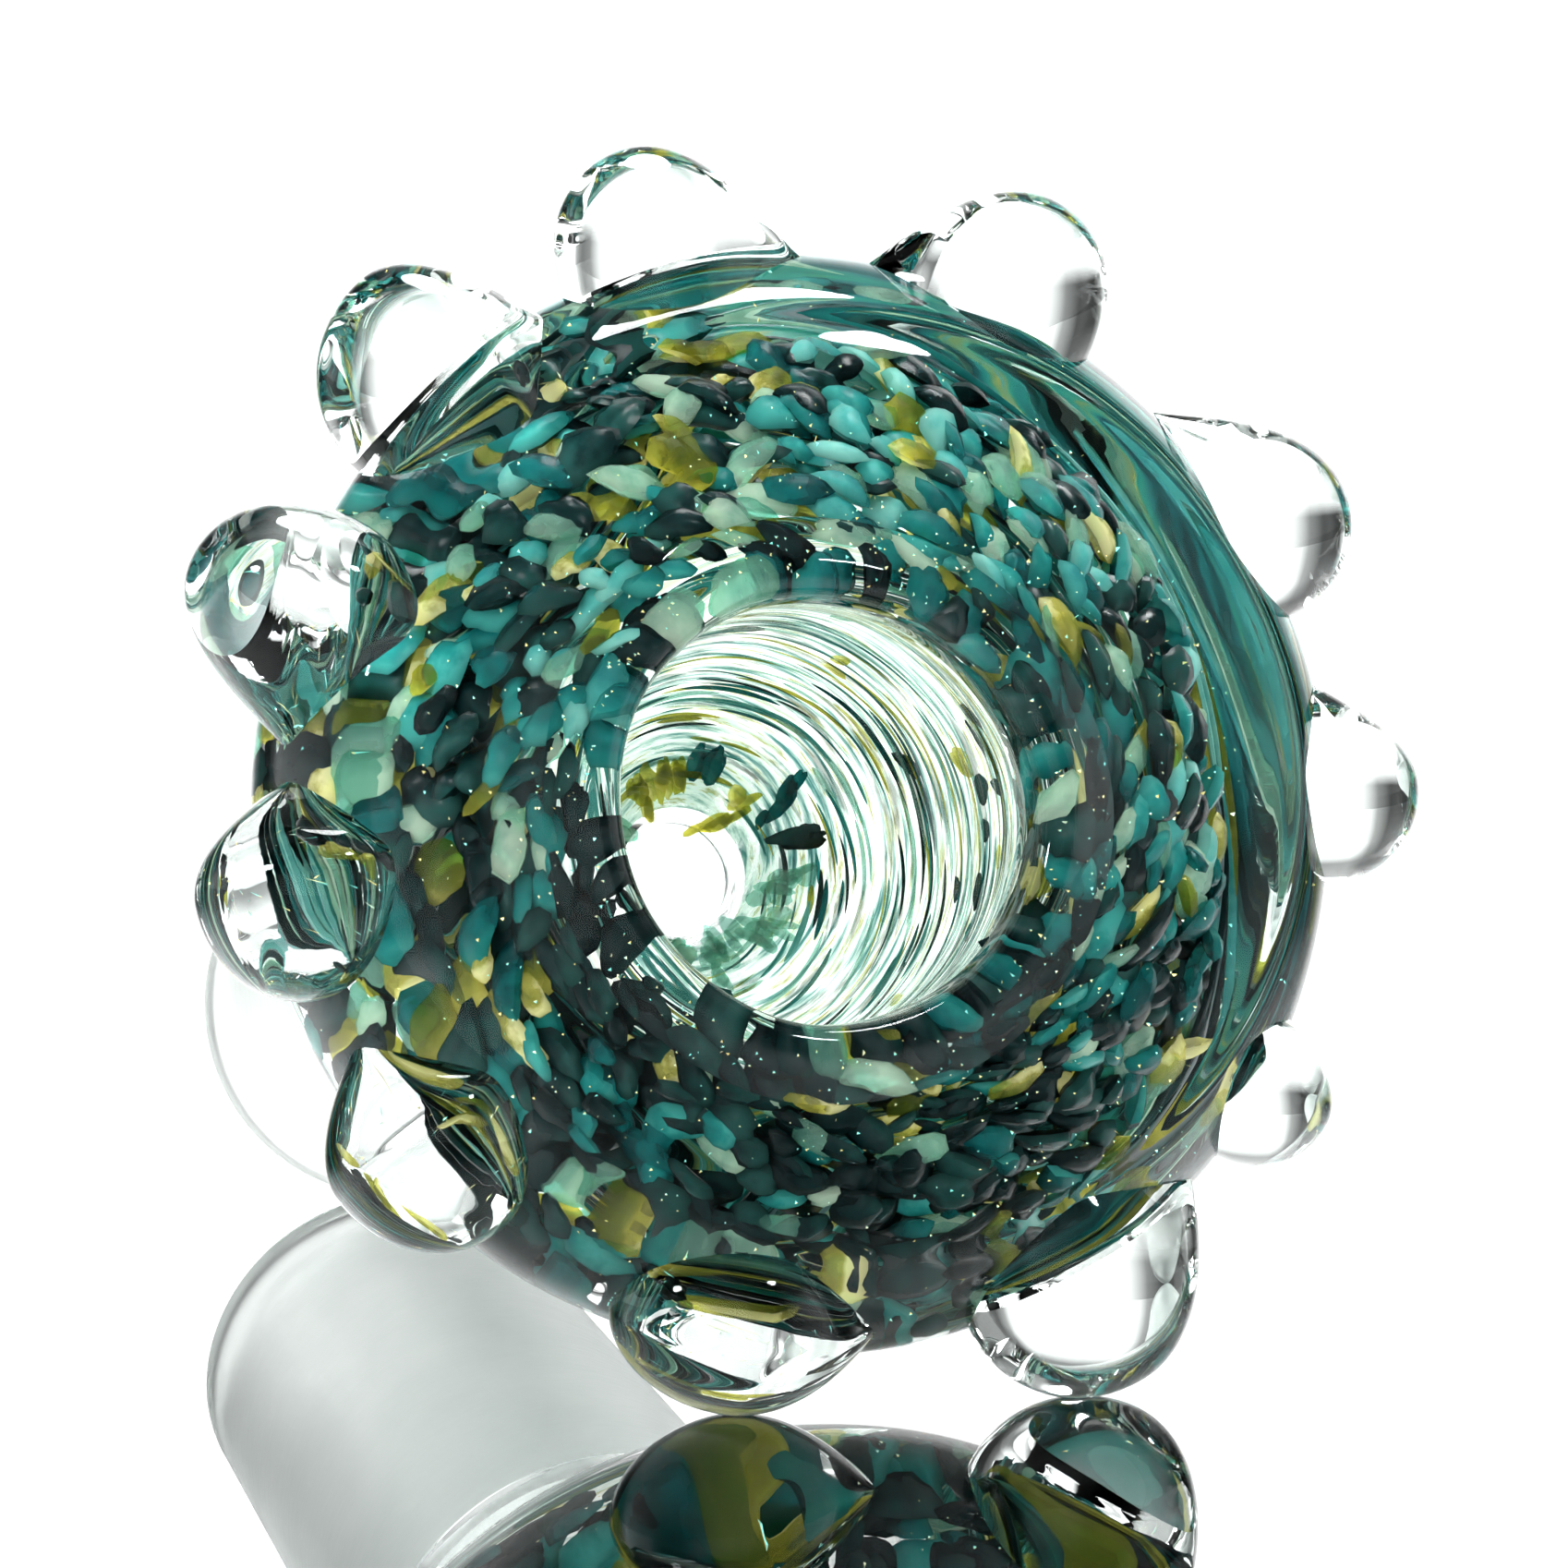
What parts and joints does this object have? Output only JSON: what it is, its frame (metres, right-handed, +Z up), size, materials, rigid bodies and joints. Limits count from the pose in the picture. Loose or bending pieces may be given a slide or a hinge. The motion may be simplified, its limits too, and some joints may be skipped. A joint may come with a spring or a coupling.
{
  "type": "glass bowl with ground joint",
  "caption": "Hand-blown glass bowl with a coloured frit swirl, a ring of clear glass knobs, a rounded mouth, a drain hole and a frosted male taper ground joint.",
  "frame": {"origin": "on the surface it lies on, under the middle of its box", "axes": "+Z up, +Y from the mouth to the end of the ground joint along the surface, +X to the right as seen from the mouth"},
  "size_m": [0.04, 0.0508, 0.0382],
  "materials": {
    "casing_glass": "clear fire-polished glass with a faint green-grey cast",
    "frit": "opaque teal, dark navy, turquoise and metallic olive glass chips in clear glass",
    "core_glass": "clear glass with fine concentric tool marks",
    "lip_glass": "clear fire-polished glass",
    "neck_glass": "clear fire-polished glass",
    "ground_glass": "ground, satin frosted glass with a polished rim",
    "knob_glass": "clear fire-polished glass"
  },
  "bodies": {
    "root": {"clear_casing": "casing_glass", "frit_layer": "frit", "inner_core": "core_glass", "lip_ring": "lip_glass", "neck": "neck_glass", "ground_joint": "ground_glass", "knob_01": "knob_glass", "knob_02": "knob_glass", "knob_03": "knob_glass", "knob_04": "knob_glass", "knob_05": "knob_glass", "knob_06": "knob_glass", "knob_07": "knob_glass", "knob_08": "knob_glass", "knob_09": "knob_glass", "knob_10": "knob_glass", "knob_11": "knob_glass"}
  },
  "joints": []
}
